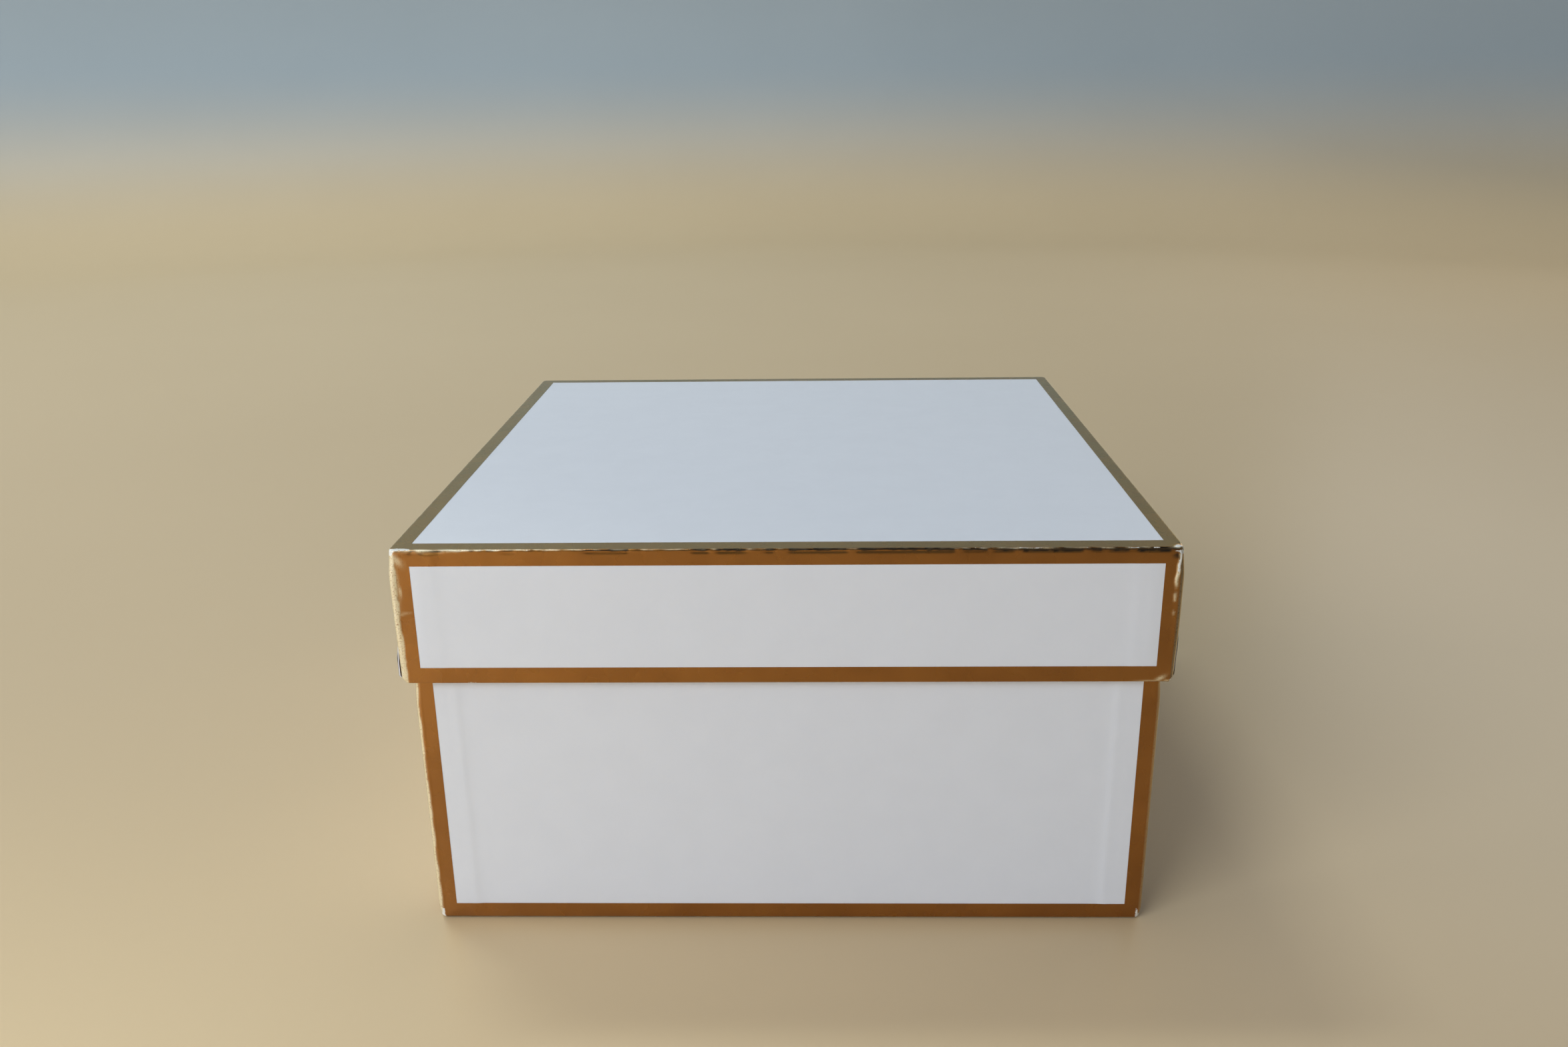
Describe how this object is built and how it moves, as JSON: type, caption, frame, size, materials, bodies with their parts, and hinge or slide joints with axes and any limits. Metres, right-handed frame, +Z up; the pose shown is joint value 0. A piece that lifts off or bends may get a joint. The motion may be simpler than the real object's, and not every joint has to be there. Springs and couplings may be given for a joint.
{
  "type": "gift box",
  "caption": "Square rigid card gift box with a telescoping lift-off lid, white paper faces and gold foil borders, for holding and presenting a gift.",
  "frame": {"origin": "centre of the underside, on the surface that the closed box stands on", "axes": "+Z up, the way the lid lifts; -Y towards the front; +X to the right of someone facing the front"},
  "size_m": [0.254, 0.254, 0.1404],
  "materials": {
    "greyboard": "matte",
    "stay_tape": "matte",
    "wrap_paper": "satin",
    "gold_foil": "gloss",
    "lining_paper": "matte"
  },
  "bodies": {
    "base": {"base_board_floor": "greyboard", "base_board_front": "greyboard", "base_board_back": "greyboard", "base_board_left": "greyboard", "base_board_right": "greyboard", "base_stay_front_left": "stay_tape", "base_stay_front_right": "stay_tape", "base_stay_back_left": "stay_tape", "base_stay_back_right": "stay_tape", "base_wrap": "wrap_paper", "base_foil": "gold_foil", "base_lining": "lining_paper", "base_bottom_sheet": "lining_paper"},
    "lid": {"lid_board_top": "greyboard", "lid_board_front": "greyboard", "lid_board_back": "greyboard", "lid_board_left": "greyboard", "lid_board_right": "greyboard", "lid_stay_front_left": "stay_tape", "lid_stay_front_right": "stay_tape", "lid_stay_back_left": "stay_tape", "lid_stay_back_right": "stay_tape", "lid_wrap": "wrap_paper", "lid_foil": "gold_foil", "lid_lining": "lining_paper"}
  },
  "joints": [
    {"name": "lid_lift", "type": "slide", "parent": "base", "child": "lid", "axis": [0, 0, 1], "range_m": [0, 0.15]}
  ]
}
